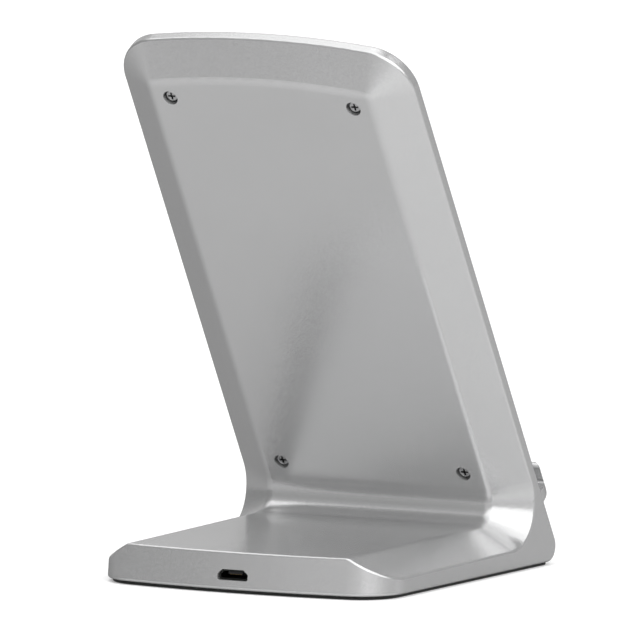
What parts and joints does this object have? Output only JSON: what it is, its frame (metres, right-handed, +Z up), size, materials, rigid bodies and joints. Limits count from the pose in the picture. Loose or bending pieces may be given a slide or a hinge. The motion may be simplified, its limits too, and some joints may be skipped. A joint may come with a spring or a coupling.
{
  "type": "wireless phone charging stand",
  "caption": "Desktop wireless charging stand: leaning L-shaped shell with bevelled back, front ledge for a phone, flat base with a rear power socket.",
  "frame": {"origin": "centre of the footprint at desk level, under the foot pad", "axes": "+Z up, +Y towards the rear socket, +X across; the phone faces -Y and leans back 60 degrees above the desk"},
  "size_m": [0.077, 0.0896, 0.1286],
  "materials": {
    "silver_body": "satin metallic silver paint on moulded plastic",
    "silver_front": "satin metallic silver paint on moulded plastic",
    "black_plastic": "fine matte texture",
    "foot_rubber": "soft matte foot pad",
    "grip_silicone": "soft matte silicone",
    "clear_plastic": "clear moulded light pipe",
    "tray_plastic": "plain natural moulding",
    "ferrite": "sintered ferrite, dull",
    "copper_wire": "enamelled stranded copper",
    "lead_insulation": "insulated leads",
    "epoxy_bead": "dipped bead",
    "foam": "closed-cell foam",
    "circuit_board": "green solder mask",
    "plated_steel": "bright plated steel",
    "blackened_steel": "black-nickel plated socket shell",
    "gold_contacts": "gold flash",
    "led_body": "white package",
    "chip_epoxy": "black moulded epoxy",
    "capacitor_ceramic": "ceramic body with tinned ends",
    "inductor_core": "shielded moulded core",
    "dark_steel": "plated steel with a cross recess"
  },
  "bodies": {
    "root": {"rear_housing": "silver_body", "front_cover": "silver_front", "bottom_cover": "black_plastic", "base_pad": "foot_rubber", "ledge_pad": "grip_silicone", "upper_grip_strip": "grip_silicone", "lower_grip_strip": "grip_silicone", "light_pipe": "clear_plastic", "coil_tray": "tray_plastic", "ferrite_plate": "ferrite", "upper_coil": "copper_wire", "lower_coil": "copper_wire", "coil_spacer": "tray_plastic", "coil_leads": "lead_insulation", "thermistor": "epoxy_bead", "foam_tape": "foam", "main_board": "circuit_board", "usb_shell": "blackened_steel", "usb_tongue": "black_plastic", "usb_contacts": "gold_contacts", "indicator_led": "led_body", "controller_chip": "chip_epoxy", "power_mosfets": "chip_epoxy", "resonance_capacitors": "capacitor_ceramic", "power_inductor": "inductor_core", "board_passives": "capacitor_ceramic", "housing_screws": "dark_steel", "tray_screws": "plated_steel", "board_screws": "plated_steel", "bottom_cover_screws": "dark_steel"}
  },
  "joints": []
}
